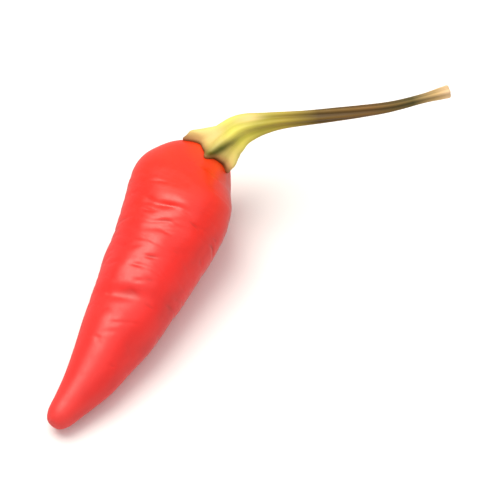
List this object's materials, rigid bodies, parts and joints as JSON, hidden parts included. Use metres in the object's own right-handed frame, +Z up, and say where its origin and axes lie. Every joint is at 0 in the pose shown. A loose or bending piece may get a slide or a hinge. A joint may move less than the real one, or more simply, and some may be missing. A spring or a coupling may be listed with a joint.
{
  "type": "chili pepper",
  "caption": "Small tapering red chili with soft lobes and dents, and a ribbed green calyx and curved stalk; food to lay on a board, plate or heap.",
  "frame": {"origin": "a point on the flat spot under the fruit, close under the middle of the chili's weight", "axes": "+X along the lying fruit from its tip towards its calyx, +Z up from the surface it rests on, +Y to the side opposite the one the stalk bends to"},
  "size_m": [0.0585, 0.0317, 0.0158],
  "materials": {
    "red_skin": "glossy waxy fruit skin, saturated red, stands in as gloss plastic",
    "green_stalk": "satin plant tissue, yellow-green at the calyx and olive to brown along the stalk, stands in as matte plastic"
  },
  "bodies": {
    "root": {"pod": "red_skin", "stem_and_calyx": "green_stalk"}
  },
  "joints": []
}
